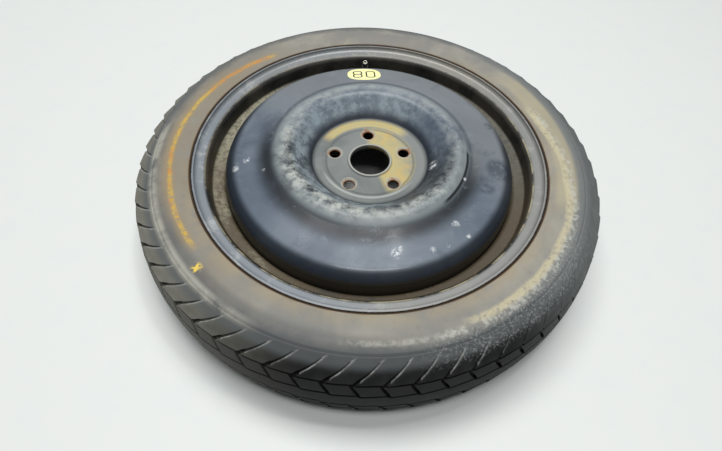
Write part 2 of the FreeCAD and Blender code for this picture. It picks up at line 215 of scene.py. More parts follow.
def cleaned(bm, merge=0.002):
    bmesh.ops.remove_doubles(bm, verts=bm.verts[:], dist=merge * mm)
    bmesh.ops.recalc_face_normals(bm, faces=bm.faces[:])


def pieceFrom(bm, name, material, sharp=35.0):
    mesh = bpy.data.meshes.new(name)
    bm.to_mesh(mesh)
    bm.free()
    mesh.shade_smooth()
    mesh.set_sharp_from_angle(angle=math.radians(sharp))
    mesh.materials.append(material)
    piece = bpy.data.objects.new(name, mesh)
    bpy.context.scene.collection.objects.link(piece)
    return piece


def thicken(piece, gauge):
    # sheet of even gauge on the inner side of the faces
    wall = piece.modifiers.new("gauge", "SOLIDIFY")
    wall.thickness = gauge * mm
    wall.offset = -1.0
    wall.use_even_offset = True


def settle(piece, sharp):
    # apply the live modifiers to the mesh
    graph = bpy.context.evaluated_depsgraph_get()
    mesh = bpy.data.meshes.new_from_object(piece.evaluated_get(graph))
    piece.modifiers.clear()
    piece.data = mesh
    mesh.shade_smooth()
    mesh.set_sharp_from_angle(angle=math.radians(sharp))
    return piece


def enlist(piece, body, slot, *replaced):
    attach(piece, body)
    if replaced:
        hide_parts(*replaced)


# Finishes

tyreTints = {
    "black": (11, 12, 12), "wornBlack": (25, 26, 25), "treadDust": (122, 121, 112),
    "treadGrime": (104, 109, 108), "shoulder": (82, 86, 87), "sidewallDark": (121, 120, 115),
    "sidewallPale": (141, 138, 128), "smoky": (92, 93, 95), "brown": (113, 102, 84),
    "streak": (102, 99, 92), "tan": (146, 135, 112), "beadRust": (118, 94, 62),
    "nearShade": (78, 80, 80), "rightShade": (104, 108, 107), "rib": (160, 158, 147),
    "scrape": (172, 171, 162), "chalkYellow": (192, 162, 62), "chalkOrange": (186, 122, 46),
    "smear": (158, 130, 78), "patch": (206, 180, 84), "mudFilm": (156, 149, 124),
    "mud": (174, 166, 138), "mudEdge": (168, 169, 160), "speck": (140, 144, 142),
    "slotLipWearAndHighlight": (146, 148, 143), "rustLineAndShade": (60, 42, 20), "beadGapShade": (20, 14, 8),
}


def tyreRubberFinish():
    f = Finish("tyreRubber")
    c = shades(tyreTints)
    dust = f.noise(38.0, 6.0, 0.62)
    cloud = f.noise(9.0, 4.0, 0.6, 0.4)
    fine = f.noise(620.0, 3.0, 0.6)
    streak = f.noise(90.0, 5.0, 0.7)
    # black tread, dusty at the left and far sides
    dusty = f.sector(165.0, 52.0, 45.0)
    grime = f.sector(20.0, 40.0, 40.0)
    colour = f.mix(c["black"], c["wornBlack"], f.step(dust, 0.45, 0.7))
    colour = f.mix(colour, c["treadDust"], dusty * (0.5 + 0.45 * dust))
    colour = f.mix(colour, c["treadGrime"], grime * (0.45 + 0.5 * dust))
    # shoulder blocks, greyer towards the sidewall
    shoulder = f.step(f.radius + (cloud - 0.5) * 8.0, 302.0, 293.0) * f.step(f.z, -2.0, 6.0)
    colour = f.mix(colour, c["shoulder"], shoulder * (0.45 + 0.6 * cloud))
    sidewall = f.step(f.radius + (cloud - 0.5) * 6.0, 286.0, 271.0)
    faded = f.mix(c["sidewallDark"], c["sidewallPale"], f.step(cloud, 0.4, 0.62))
    smoky = f.band(f.radius, 281.0, 4.0, 9.0) * f.step(dust, 0.4, 0.6)
    faded = f.mix(faded, c["smoky"], smoky * 0.6)
    colour = f.mix(colour, faded, sidewall * 0.95)
    brown = f.sector(183.0, 38.0, 30.0) * f.step(cloud + 0.25 * dust, 0.46, 0.74)
    colour = f.mix(colour, c["brown"], sidewall * brown * 0.6)
    colour = f.mix(colour, c["streak"], sidewall * f.step(streak, 0.56, 0.7) * 0.25)
    # tan wash beside the flange, strongest at the near side
    near = 0.15 + 0.5 * f.sector(-100.0, 40.0, 40.0) + 0.25 * f.sector(0.0, 30.0, 40.0)
    tan = f.step(f.radius + (cloud - 0.5) * 14.0, 262.0, 241.0) * near
    colour = f.mix(colour, c["tan"], tan * f.step(dust, 0.3, 0.62))
    rust = f.step(f.radius, 243.0, 238.0) * f.step(f.noise(70.0, 5.0), 0.46, 0.62)
    colour = f.mix(colour, c["beadRust"], rust * 0.35)
    # painted shade on the edge of the sidewall at the near left
    shade = f.band(f.radius, 277.0, 6.0, 11.0) * f.sector(-120.0, 24.0, 24.0)
    colour = f.mix(colour, c["nearShade"], shade * (0.3 + 0.5 * cloud))
    # painted shade on the edge of the sidewall at the right
    shade = f.band(f.radius, 283.0, 7.0, 8.0) * f.sector(8.0, 40.0, 20.0)
    colour = f.mix(colour, c["rightShade"], shade * (0.4 + 0.5 * dust))
    # pale scuffed rib at the foot of the shoulder
    rib = f.band(f.radius, 284.0, 1.5, 7.0) * f.step(f.noise(40.0, 5.0), 0.26, 0.6)
    colour = f.mix(colour, c["rib"], rib * f.sector(-152.0, 28.0, 14.0) * 0.75)
    scrape = f.band(f.radius, 273.0, 0.6, 4.5) * f.sector(-80.0, 8.0, 9.0)
    colour = f.mix(colour, c["scrape"], scrape * f.step(streak, 0.36, 0.6) * 0.5)
    # chalky crayon streak on the left sidewall, drawn off centre
    wander = (f.noise(16.0, 4.0, 0.6) - 0.5) * 9.0
    drawn = f.radius - 28.0 * f.along(190.0) + wander
    line = f.band(drawn, 235.0, 1.0, 3.6) * f.step(f.noise(95.0, 6.0, 0.75), 0.36, 0.56)
    chalk = f.mix(c["chalkYellow"], c["chalkOrange"], f.step(f.noise(24.0, 2.0), 0.44, 0.6))
    colour = f.mix(colour, chalk, line * f.sector(175.0, 43.0, 4.0) * 0.85)
    smear = f.band(drawn, 236.0, 2.0, 9.0) * f.sector(175.0, 43.0, 6.0)
    colour = f.mix(colour, c["smear"], smear * 0.3)
    patch = f.spot(271.0, -134.0, 20.0, 3.0, 6.0) * f.step(f.noise(160.0, 4.0), 0.46, 0.56)
    colour = f.mix(colour, c["patch"], patch)
    # dried mud on the right sidewall
    swept = f.radius - 36.0 * f.along(-45.0) + (f.noise(13.0, 4.0) - 0.5) * 14.0 + 8.0
    crust = f.noise(170.0, 5.0, 0.7)
    film = f.step(f.radius, 278.0, 270.0) * f.sector(12.0, 22.0, 12.0) * f.step(f.radius, 243.0, 252.0)
    colour = f.mix(colour, c["mudFilm"], film * (0.4 + 0.5 * dust))
    mud = f.band(swept, 241.5, 1.6, 5.0) * f.sector(-19.0, 40.0, 8.0)
    colour = f.mix(colour, c["mud"], mud * f.step(crust, 0.32, 0.54) * 0.9)
    brink = f.band(swept, 248.0, 1.5, 5.5) * f.sector(-24.0, 44.0, 8.0)
    colour = f.mix(colour, c["mudEdge"], brink * f.step(crust, 0.46, 0.6) * 0.7)
    speck = f.band(f.radius, 288.0, 8.0, 10.0) * f.sector(-48.0, 16.0, 16.0)
    colour = f.mix(colour, c["speck"], speck * f.step(f.noise(330.0, 4.0, 0.7), 0.5, 0.62) * 0.5)
    # edges of the slots, worn pale, with a painted highlight where they catch the light at the near side
    lip = f.flow.node("ShaderNodeAttribute", {"attribute_name": "lipWearAndHighlight"}, out="Fac")
    lip = lip * f.sector(-122.0, 52.0, 16.0)
    colour = f.mix(colour, c["slotLipWearAndHighlight"], lip * (0.25 + 0.6 * f.step(streak, 0.38, 0.6)))
    # rust and painted shade along the line where the bead meets the flange, darkest in the gap
    colour = f.mix(colour, c["rustLineAndShade"], f.step(f.radius, 239.6, 238.2))
    colour = f.mix(colour, c["beadGapShade"], f.step(f.radius, 237.8, 236.8))
    rough = 0.6 + 0.28 * dust
    relief = fine * 0.4 + dust * 0.6
    return f.set(Base_Color=colour, Roughness=rough, Normal=f.bump(relief, 0.3, 0.5),
                 Specular_IOR_Level=0.28)


rimTints = {
    "wellShade": (26, 27, 26), "wellDustAndShade": (56, 54, 48), "paint": (118, 125, 131),
    "rubbed": (160, 163, 162), "film": (132, 127, 114), "sandPale": (132, 128, 108),
    "sandDark": (84, 80, 64), "mire": (66, 56, 40), "mireGrit": (104, 84, 66), "brim": (158, 150, 122),
    "rustyEdge": (52, 34, 16),
}


def rimPaintFinish():
    f = Finish("rimPaint")
    c = shades(rimTints)
    wear = f.noise(46.0, 6.0, 0.65)
    blotch = f.noise(13.0, 5.0, 0.6, 0.5)
    grit = f.noise(150.0, 6.0, 0.72)
    flange = f.step(f.radius, 219.0, 223.0)
    # painted shade in the seat and well inside the flange, with dust in blotches
    well = f.mix(c["wellShade"], c["wellDustAndShade"], f.step(blotch + 0.3 * wear, 0.5, 0.78))
    colour = f.mix(well, c["paint"], flange * (0.72 + 0.28 * blotch))
    colour = f.mix(colour, c["rubbed"], flange * f.step(wear, 0.52, 0.7) * 0.55)
    film = f.sector(0.0, 70.0, 40.0) * (0.4 + 0.5 * blotch) + 0.35 * f.sector(95.0, 40.0, 30.0)
    colour = f.mix(colour, c["film"], film * flange * 0.7)
    # sand lying on the ledge, thick at the left, thin elsewhere
    ledge = f.band(f.z, -15.5, 4.5, 3.0) * f.step(f.radius, 217.0, 213.0) * f.step(f.radius, 195.0, 198.0)
    sand = f.mix(c["sandPale"], c["sandDark"], f.step(grit, 0.46, 0.64))
    drift = 0.08 + 0.85 * f.sector(190.0, 45.0, 25.0) + 0.15 * f.sector(0.0, 35.0, 30.0)
    colour = f.mix(colour, sand, ledge * drift)
    mire = (f.step(f.radius, 219.0, 215.0) * f.sector(-90.0, 65.0, 40.0)
            * f.step(blotch + 0.4 * grit, 0.46, 0.72))
    colour = f.mix(colour, c["mire"], mire * 0.85)
    colour = f.mix(colour, c["mireGrit"], mire * f.step(grit, 0.54, 0.66) * 0.5)
    # pale dirt along the inner edge of the flange
    brim = f.band(f.radius, 219.6, 0.4, 1.0) * (0.3 + 0.5 * f.sector(-60.0, 60.0, 40.0))
    colour = f.mix(colour, c["brim"], brim * f.step(wear, 0.4, 0.56))
    # bare and rusty lip edge
    edge = f.step(f.radius, 234.4, 235.3)
    colour = f.mix(colour, c["rustyEdge"], edge * f.step(f.noise(60.0, 4.0), 0.3, 0.5) * 0.85)
    rough = 0.3 + 0.3 * wear + 0.2 * ledge
    return f.set(Base_Color=colour, Roughness=rough, Normal=f.bump(wear + grit * ledge, 0.18, 0.4),
                 Coat_Weight=0.35 * flange, Coat_Roughness=0.25)


discTints = {
    "paintDark": (70, 80, 93), "paintHazy": (102, 111, 121), "besideHatShade": (30, 34, 38),
    "bulgeHighlight": (112, 122, 132), "film": (120, 124, 126), "smudge": (58, 66, 76), "hatFootShade": (40, 47, 54),
    "scratch": (128, 136, 142), "rubbed": (60, 68, 78), "hatWallHazeAndLight": (136, 148, 154),
    "hatWallFootShade": (28, 32, 40), "frost": (132, 140, 143), "bare": (162, 166, 161),
    "knock": (14, 16, 18), "hubPale": (118, 122, 120), "hubDark": (100, 105, 104),
    "ochre": (172, 160, 112), "deepOchre": (190, 150, 78), "hubStepHighlight": (170, 174, 170),
    "rings": (70, 74, 74), "seats": (166, 166, 156), "seatRust": (150, 92, 40),
    "holeRust": (112, 64, 26), "boreEdge": (150, 150, 144), "scuffAndHighlight": (196, 200, 200),
    "dome": (20, 25, 32), "skirt": (56, 50, 38), "hiddenShade": (22, 22, 20),
}


def discPaintFinish():
    f = Finish("discPaint")
    c = shades(discTints)
    haze = f.noise(7.0, 5.0, 0.6, 0.6)
    wear = f.noise(64.0, 7.0, 0.68)
    speckle = f.noise(230.0, 5.0, 0.7)
    colour = f.mix(c["paintDark"], c["paintHazy"], f.step(haze, 0.36, 0.66))
    # painted shade beside the hat and a painted highlight on the bulge at the near side
    inner = f.step(f.radius, 160.0, 138.0) * f.sector(-95.0, 75.0, 45.0)
    colour = f.mix(colour, c["besideHatShade"], inner * 0.95)
    bulgeHighlight = f.band(f.radius, 170.0, 6.0, 16.0) * f.sector(-95.0, 60.0, 50.0)
    colour = f.mix(colour, c["bulgeHighlight"], bulgeHighlight * 0.3)
    # greyer film of dust at the far side
    film = f.sector(70.0, 60.0, 40.0) * f.step(f.radius, 120.0, 140.0)
    colour = f.mix(colour, c["film"], film * (0.5 + 0.4 * haze))
    # darker smudges at the right
    for radius, azimuth, height, size in discPress["smudges"]:
        mark = f.spot(radius, azimuth, height, size * 0.5, size * 0.5)
        colour = f.mix(colour, c["smudge"], mark * f.step(wear, 0.36, 0.54) * 0.75)
    # painted shade in the hollow at the foot of the hat
    foot = f.band(f.radius, 131.0, 1.5, 6.0)
    colour = f.mix(colour, c["hatFootShade"], foot * (0.35 + 0.3 * haze))
    # scratched and hazy patches all over
    scratch = f.step(f.noise(26.0, 8.0, 0.75, 1.2), 0.56, 0.66) * f.step(f.radius, 78.0, 84.0)
    colour = f.mix(colour, c["scratch"], scratch * 0.3)
    rubbed = f.step(f.noise(15.0, 6.0, 0.7, 0.8), 0.56, 0.68) * f.step(f.radius, 78.0, 84.0)
    colour = f.mix(colour, c["rubbed"], rubbed * 0.35)
    # pale haze and painted light on the inner wall of the hat, weaker at the right; painted shade at its
    # foot on the far side
    wall = f.band(f.radius, 93.0, 8.0, 8.0) * f.step(f.z, 8.0, 12.0)
    lit = 1.0 - 0.75 * f.sector(-10.0, 45.0, 30.0)
    colour = f.mix(colour, c["hatWallHazeAndLight"], wall * lit * (0.2 + 0.6 * f.step(wear, 0.4, 0.6)))
    sunk = f.step(f.radius, 91.0, 80.0) * f.step(f.radius, 74.5, 77.5) * f.sector(90.0, 100.0, 45.0)
    colour = f.mix(colour, c["hatWallFootShade"], sunk * 0.85)
    # paint worn off the crest of the hat
    crest = f.band(f.radius, 113.0, 3.0, 13.0) * f.step(f.z, 27.0, 33.0)
    side = 0.4 + 0.4 * f.sector(195.0, 45.0, 35.0) + 0.6 * f.sector(-95.0, 40.0, 35.0)
    bare = crest * side * f.step(wear + 0.2 * speckle, 0.44, 0.8)
    frost = f.band(f.radius, 121.0, 4.0, 10.0) * f.step(haze + 0.3 * wear, 0.4, 0.68)
    colour = f.mix(colour, c["frost"], frost * 0.65)
    colour = f.mix(colour, c["bare"], bare)
    # knock mark on the hat's outer foot at the right
    knock = f.band(f.radius, 128.5, 0.8, 1.6) * f.sector(-20.0, 18.0, 6.0)
    colour = f.mix(colour, c["knock"], knock * 0.9)
    # hub face: worn to grey, stained with ochre at the right and far sides
    hub = f.step(f.radius, 80.0, 75.0) * f.step(f.z, 10.0, 8.0)
    face = f.mix(c["hubPale"], c["hubDark"], f.step(haze, 0.4, 0.62))
    colour = f.mix(colour, face, hub)
    stain = (f.sector(18.0, 72.0, 16.0) * f.step(haze + 0.22 * wear, 0.36, 0.6)
             * f.step(f.radius, 66.0, 58.0))
    stain = f.larger(stain, f.band(f.radius, 70.0, 5.0, 3.0) * f.sector(100.0, 42.0, 16.0))
    colour = f.mix(colour, c["ochre"], stain * hub * 0.9)
    colour = f.mix(colour, c["deepOchre"], stain * hub * f.step(wear, 0.5, 0.66) * 0.45)
    # painted highlight on the step of the hub at the near side
    litEdge = f.band(f.radius, 66.0, 0.8, 2.4) * f.sector(-95.0, 35.0, 35.0)
    colour = f.mix(colour, c["hubStepHighlight"], litEdge * hub * 0.6)
    # painted shade in the creases at the foot of the hub step and of the hat wall
    rings = f.band(f.radius, 59.5, 0.8, 1.4) + f.band(f.radius, 76.5, 1.0, 2.5)
    colour = f.mix(colour, c["rings"], rings * hub * 0.45)
    # rust in the bolt holes; pale seats around them, worn and with painted light on the seat cones
    holes, seats = None, None
    for hole in range(discPress["boltCount"]):
        azimuth = discPress["boltAzimuth"] + hole * 360.0 / discPress["boltCount"]
        reach = discPress["boltCircle"] / 2
        mark = f.spot(reach, azimuth, 0.0, 8.0, 0.8)
        ring = f.spot(reach, azimuth, 4.0, 10.4, 1.2)
        holes = mark if holes is None else holes + mark
        seats = ring if seats is None else seats + ring
    colour = f.mix(colour, c["seats"], seats * 0.7)
    colour = f.mix(colour, c["seatRust"], seats * f.step(f.noise(120.0, 5.0), 0.48, 0.62) * 0.6)
    colour = f.mix(colour, c["holeRust"], holes * 0.9)
    # bright turned edge of the bore
    colour = f.mix(colour, c["boreEdge"], f.step(f.radius, 31.2, 30.4) * f.step(f.z, 5.4, 6.4))
    # scuffs and splashes, and a painted highlight of the ceiling lamp on the near dome
    for radius, azimuth, height, size in discPress["scuffsAndHighlight"]:
        mark = f.spot(radius, azimuth, height, size * 0.4, size)
        colour = f.mix(colour, c["scuffAndHighlight"], mark * f.step(f.noise(150.0, 5.0, 0.7), 0.44, 0.58) * 0.9)
    # painted shade on the dome where it turns down to the skirt at the near side
    turned = f.step(f.radius, 176.0, 186.0) * f.sector(-95.0, 100.0, 30.0)
    colour = f.mix(colour, c["dome"], turned * 0.85)
    # grime on the skirt, and painted shade on the hidden side
    skirt = f.step(f.radius, 188.0, 194.5) * f.step(f.z, 8.0, 1.0)
    colour = f.mix(colour, c["skirt"], skirt * 0.8)
    hiddenShade = f.step(f.z, 1.0, -0.5) * f.step(f.radius, 195.2, 194.0)
    colour = f.mix(colour, c["hiddenShade"], hiddenShade)
    rough = 0.3 + 0.24 * wear + 0.25 * bare + 0.15 * hub
    gloss = 0.06 + 0.2 * f.step(f.radius, 148.0, 168.0) * f.step(f.radius, 188.0, 177.0)
    return f.set(Base_Color=colour, Roughness=rough, Normal=f.bump(wear + 0.5 * speckle, 0.08, 0.4),
                 Coat_Weight=gloss * (1 - bare) * (1 - 0.8 * hub), Coat_Roughness=0.14,
                 Specular_IOR_Level=0.24)


valveRubberTints = {
    "rubber": (34, 34, 33), "dust": (88, 86, 80),
}


def valveRubberFinish():
    f = Finish("valveRubber")
    c = shades(valveRubberTints)
    dust = f.noise(240.0, 5.0, 0.6)
    colour = f.mix(c["rubber"], c["dust"], f.step(dust, 0.45, 0.68))
    return f.set(Base_Color=colour, Roughness=0.6 + 0.2 * dust, Normal=f.bump(dust, 0.2, 0.2))


# pale tint, dark tint and metallic of the small parts of the valve's core
coreTints = {
    "valveBrass": ((190, 182, 160), (120, 108, 84), 0.9),
    "springSteel": ((190, 190, 190), (120, 120, 122), 1.0),
    "sealRubber": ((70, 36, 34), (44, 26, 25), 0.0),
}


def dullFinish(name):
    f = Finish(name)
    pale, dark, metallic = coreTints[name]
    tarnish = f.noise(420.0, 6.0, 0.65)
    colour = f.mix(tint(*pale), tint(*dark), f.step(tarnish, 0.4, 0.66))
    return f.set(Base_Color=colour, Roughness=0.32 + 0.3 * tarnish, Metallic=metallic,
                 Normal=f.bump(tarnish, 0.15, 0.1))


valveStemTints = {
    "dirtDark": (30, 28, 25), "dirtPale": (58, 54, 46), "metal": (176, 176, 170),
}


def valveStemFinish():
    # clean metal on the end face, road dirt on the thread
    f = Finish("valveStem")
    c = shades(valveStemTints)
    axis = valveFrame().col[2].to_3d()
    reach = f.flow.node("ShaderNodeVectorMath", {"operation": "DOT_PRODUCT"}, {
        0: f.place, 1: axis}, out="Value") * 1000.0 - axis.dot(Vector(valveShape["base"]))
    clean = f.step(reach, 27.0, 27.6)
    dirt = f.mix(c["dirtDark"], c["dirtPale"], f.step(f.noise(420.0, 5.0), 0.45, 0.65))
    colour = f.mix(dirt, c["metal"], clean)
    return f.set(Base_Color=colour, Roughness=0.7 - 0.35 * clean, Metallic=0.9 * clean)


stickerFilmTints = {
    "film": (238, 236, 164), "faded": (228, 226, 182), "dirt": (150, 140, 92),
}


def stickerFilmFinish():
    f = Finish("stickerFilm")
    c = shades(stickerFilmTints)
    fade = f.noise(120.0, 5.0, 0.6)
    colour = f.mix(c["film"], c["faded"], f.step(fade, 0.42, 0.66))
    colour = f.mix(colour, c["dirt"], f.step(f.noise(300.0, 5.0, 0.7), 0.62, 0.72) * 0.6)
    return f.set(Base_Color=colour, Roughness=0.4 + 0.2 * fade)


stickerInkTints = {
    "ink": (40, 42, 36), "faded": (92, 92, 66),
}


def stickerInkFinish():
    f = Finish("stickerInk")
    c = shades(stickerInkTints)
    fade = f.noise(400.0, 4.0, 0.6)
    colour = f.mix(c["ink"], c["faded"], f.step(fade, 0.5, 0.7))
    return f.set(Base_Color=colour, Roughness=0.5 + 0.1 * fade)


weldTints = {
    "steel": (52, 54, 56), "rust": (104, 78, 50),
}


def weldFinish():
    f = Finish("weldSteel")
    c = shades(weldTints)
    scale = f.noise(300.0, 6.0, 0.7)
    ripple = f.noise(90.0, 3.0)
    colour = f.mix(c["steel"], c["rust"], f.step(scale, 0.5, 0.68))
    return f.set(Base_Color=colour, Roughness=0.55 + 0.2 * scale, Normal=f.bump(scale + ripple, 0.6, 0.8))


# Tyre

tyreShape = {
    "midPlane": -42.0, "radius": 315.0, "crownRound": 150.0, "crownSlope": 10.0, "segments": 6,
    "middleRows": [3.3, 8.5], "blockRows": [22.0, 29.0],
    "shoulder": [(303.4, 46.0, 14.0), (287.4, 57.8, None), (286.2, 57.6, 0.5), (283.4, 59.9, 0.8),
                 (280.2, 60.5, None), (252.0, 63.8, 34.0), (241.5, 61.0, 3.0)],
    "bead": [(235.75, 59.6, 1.0), (235.75, 50.6, 8.4), (218.45, 50.6, 6.0), (217.0, 34.8, None)],
    "liner": [(238.3, 48.0, None), (262.0, 56.0, 14.0), (292.8, 49.8, 18.0), (302.0, 20.0, None)],
    # rows on the shoulder longer than this, beyond this radius and height, are cut finer
    "longRow": 6.0, "fineRadius": 286.0, "fineHeight": 36.0, "fineCuts": 3,
    # round grooves, and slots that run from the inner groove over the shoulder
    "grooveWidth": 3.6, "grooveDepth": 5.0, "outerGroove": 37.5, "innerGroove": 15.0,
    "pitches": 60, "slotWidth": 5.0, "slotDepth": 3.0, "slotEndRadius": 291.0, "slotEndHeight": 60.2,
    "slotFade": 9.0, "slotLeast": 0.15, "cavityRadius": 270.0, "sinkLean": 0.45,
    "slotMouth": 1.15, "slotTaper": 0.75, "slotTaperRun": 30.0,
    "lipWidth": 2.0, "lipDepth": 0.9, "lipReach": 18.0,
    # slant of blocks and slots, and the teeth along the grooves
    "blockShear": 11.0, "shoulderShear": 38.0, "shearRun": 36.0, "shearPower": 0.7,
    "shoulderRadius": 306.0, "shoulderFall": 0.7, "shearEndRadius": 279.0,
    "sawTooth": 2.2, "toothRadius": 296.0, "toothReach": 5.0,
    "sameAngle": 1e-5, "merge": 0.02, "sharp": 32.0,
}


def crownRadius(height):
    # tread radius at a distance from the mid plane
    t = tyreShape
    slope = math.radians(t["crownSlope"])
    apex = t["radius"] + t["crownRound"] * (1 / math.cos(slope) - 1)
    if abs(height) <= t["crownRound"] * math.sin(slope):
        sag = t["crownRound"] - math.sqrt(t["crownRound"] ** 2 - height ** 2)
        return t["radius"] - sag
    return apex - abs(height) * math.tan(slope)


def tyreOutline():
    # half section from the middle of the tread to the bead and back along the air side
    t = tyreShape
    half = t["grooveWidth"] / 2
    inner, outer = ([t[name] - half, t[name] + half] for name in ("innerGroove", "outerGroove"))
    rows = t["middleRows"] + inner + t["blockRows"] + outer
    return [(crownRadius(z), z, None) for z in rows] + t["shoulder"] + t["bead"] + t["liner"]


def azimuthOf(point):
    return math.atan2(point.y, point.x)


def tyrePitch(bm):
    # one pitch of the plain tyre, with the slot in its middle and the lip beside it
    t = tyreShape
    upper = tyreOutline()
    lower = [(r, -z, rounding) for r, z, rounding in upper][::-1]
    roundedPath(bm, upper + lower, closed=True, segments=t["segments"])
    bm.edges.ensure_lookup_table()
    long = [e for e in bm.edges if e.calc_length() > t["longRow"] * mm
            and max(v.co.x for v in e.verts) > t["fineRadius"] * mm
            and max(abs(v.co.z) for v in e.verts) > t["fineHeight"] * mm]
    bmesh.ops.subdivide_edges(bm, edges=long, cuts=t["fineCuts"])
    pitch = fullTurn / t["pitches"]
    slot = t["slotWidth"] / t["radius"]
    lip = t["lipWidth"] / t["radius"]
    side = (pitch - slot) / 2
    start = bm.verts[:] + bm.edges[:]
    for angle, steps in ((side, 2), (slot, 1), (lip, 1), (side - lip, 2)):
        done = bmesh.ops.spin(bm, geom=start, cent=(0, 0, 0), axis=(0, 0, 1), dvec=(0, 0, 0),
                              angle=angle, steps=steps)
        start = done["geom_last"]
    bmesh.ops.rotate(bm, verts=bm.verts[:], cent=(0, 0, 0), matrix=Matrix.Rotation(-pitch / 2, 3, "Z"))
    bmesh.ops.recalc_face_normals(bm, faces=bm.faces[:])
    return pitch, slot


def isCut(face, slot):
    # faces on the outside of the tread that a groove or a slot takes away
    t = tyreShape
    middle = face.calc_center_median()
    radius = middle.xy.length / mm
    height = abs(middle.z) / mm
    if radius < t["slotEndRadius"] or height > t["slotEndHeight"]:
        return False
    # faces of the air side look towards the cavity
    if face.normal.x * (radius - t["cavityRadius"]) + face.normal.z * middle.z / mm < 0:
        return False
    inGroove = min(abs(height - t["outerGroove"]), abs(height - t["innerGroove"])) < t["grooveWidth"] / 2
    inSlot = abs(azimuthOf(middle)) < slot / 2 and height > t["innerGroove"]
    return inGroove or inSlot


def lipEnd(point):
    # radius where the worn lip of a slot ends
    return max(tyreShape["slotEndRadius"], crownRadius(abs(point.z) / mm) - tyreShape["lipReach"])


def cutTread(bm, pitch, slot, lipWearAndHighlight):
    t = tyreShape
    cut = [f for f in bm.faces if isCut(f, slot)]
    done = bmesh.ops.extrude_face_region(bm, geom=cut)
    bmesh.ops.delete(bm, geom=[f for f in cut if f.is_valid], context="FACES_ONLY")
    shoulderFoot = (t["outerGroove"] + t["grooveWidth"]) * mm
    floor = {item for item in done["geom"] if isinstance(item, bmesh.types.BMVert)}
    crownFloor = {v for v in floor if abs(v.co.z) <= shoulderFoot}
    litEdge = [v for v in bm.verts if v not in floor and abs(azimuthOf(v.co) - slot / 2) < t["sameAngle"]
            and abs(v.co.z) > shoulderFoot and v.co.xy.length > lipEnd(v.co) * mm]
    # the lip verts carry the worn pale edge and its painted highlight
    for v in litEdge:
        v[lipWearAndHighlight] = 1.0 if v.co.z > 0 else 0.0
    sunk = ((crownFloor, t["grooveDepth"]), (floor - crownFloor, t["slotDepth"]), (litEdge, t["lipDepth"]))
    for verts, depth in sunk:
        for v in verts:
            radius = v.co.xy.length
            fade = min(1.0, max(t["slotLeast"], (radius / mm - t["slotEndRadius"]) / t["slotFade"]))
            inward = Vector((t["cavityRadius"] * mm - radius, -t["sinkLean"] * v.co.z)).normalized()
            aim = inward * depth * fade * mm
            v.co.xy *= (radius + aim.x) / radius
            v.co.z += aim.y
    # faces left standing on the two ends of the pitch close nothing
    ends = [f for f in bm.faces
            if all(abs(abs(azimuthOf(v.co)) - pitch / 2) < t["sameAngle"] for v in f.verts)]
    bmesh.ops.delete(bm, geom=ends, context="FACES_ONLY")


def slantTread(bm, pitch, slot):
    # lean the blocks and slots round the tyre, and draw the grooves as teeth
    t = tyreShape
    edge = slot / pitch
    for v in bm.verts:
        radius = v.co.xy.length
        height = v.co.z / mm
        turn = azimuthOf(v.co)
        level = abs(height)
        sign = 1 if height > 0 else -1
        share = (level - t["innerGroove"]) / (t["outerGroove"] - t["innerGroove"])
        lean = t["blockShear"] / 2 * level / t["innerGroove"]
        if share > 0:
            lean = t["blockShear"] * (0.5 - share)
        fall = max(0.0, t["shoulderRadius"] - radius / mm) * t["shoulderFall"]
        outward = max(0.0, level - t["outerGroove"]) + fall
        if radius <= t["shearEndRadius"] * mm:
            lean = t["shoulderShear"] - t["blockShear"] / 2
        elif level > t["outerGroove"]:
            climb = min(1.0, outward / t["shearRun"]) ** t["shearPower"]
            lean = t["shoulderShear"] * climb - t["blockShear"] / 2
        part = turn / (pitch / 2)
        if abs(part) < edge * 1.01 and level > t["outerGroove"]:
            turn *= t["slotMouth"] - t["slotTaper"] * min(1.0, outward / t["slotTaperRun"])
        tooth = part / edge
        if abs(part) >= edge:
            tooth = math.copysign((1 - abs(part)) / (1 - edge), part)
        if radius > t["toothRadius"] * mm:
            nearGroove = sum(math.exp(-((level - t[name]) / t["toothReach"]) ** 2)
                             for name in ("outerGroove", "innerGroove"))
            v.co.z += -tooth * nearGroove * t["sawTooth"] * mm
        turn += sign * lean / t["radius"]
        v.co.xy = (radius * math.cos(turn), radius * math.sin(turn))


def buildTyre(material):
    t = tyreShape
    bm = bmesh.new()
    lipWearAndHighlight = bm.verts.layers.float.new("lipWearAndHighlight")
    pitch, slot = tyrePitch(bm)
    cutTread(bm, pitch, slot, lipWearAndHighlight)
    slantTread(bm, pitch, slot)
    bmesh.ops.spin(bm, geom=bm.verts[:] + bm.edges[:] + bm.faces[:], cent=(0, 0, 0), axis=(0, 0, 1),
                   dvec=(0, 0, 0), angle=fullTurn, steps=t["pitches"], use_duplicate=True)
    cleaned(bm, t["merge"])
    bmesh.ops.translate(bm, verts=bm.verts[:], vec=(0, 0, t["midPlane"] * mm))
    return pieceFrom(bm, "tyreShell", material, t["sharp"])


# Rim

rimShape = {
    "midPlane": -42.0, "gauge": 2.6, "steps": 180, "segments": 6, "sharp": 40.0,
    "path": [(235.6, 60.0, None), (235.6, 50.8, 8.4), (218.3, 50.8, 5.0), (216.4, 29.0, 5.0),
             (198.0, 25.1, 6.0), (198.0, -12.0, 6.0), (216.4, -29.0, 5.0), (218.3, -50.8, 5.0),
             (235.6, -50.8, 8.4), (235.6, -60.0, None)],
}


def buildRim(material):
    s = rimShape
    bm = bmesh.new()
    roundedPath(bm, [(r, z + s["midPlane"], rounding) for r, z, rounding in s["path"]],
                segments=s["segments"])
    turned(bm, s["steps"])
    cleaned(bm)
    well = min(bm.faces, key=lambda f: abs(f.calc_center_median().z / mm - s["midPlane"]))
    if well.normal.xy.dot(well.calc_center_median().xy) < 0:
        bmesh.ops.reverse_faces(bm, faces=bm.faces[:])
    piece = pieceFrom(bm, "rimBand", material)
    thicken(piece, s["gauge"])
    return settle(piece, s["sharp"])


# Disc

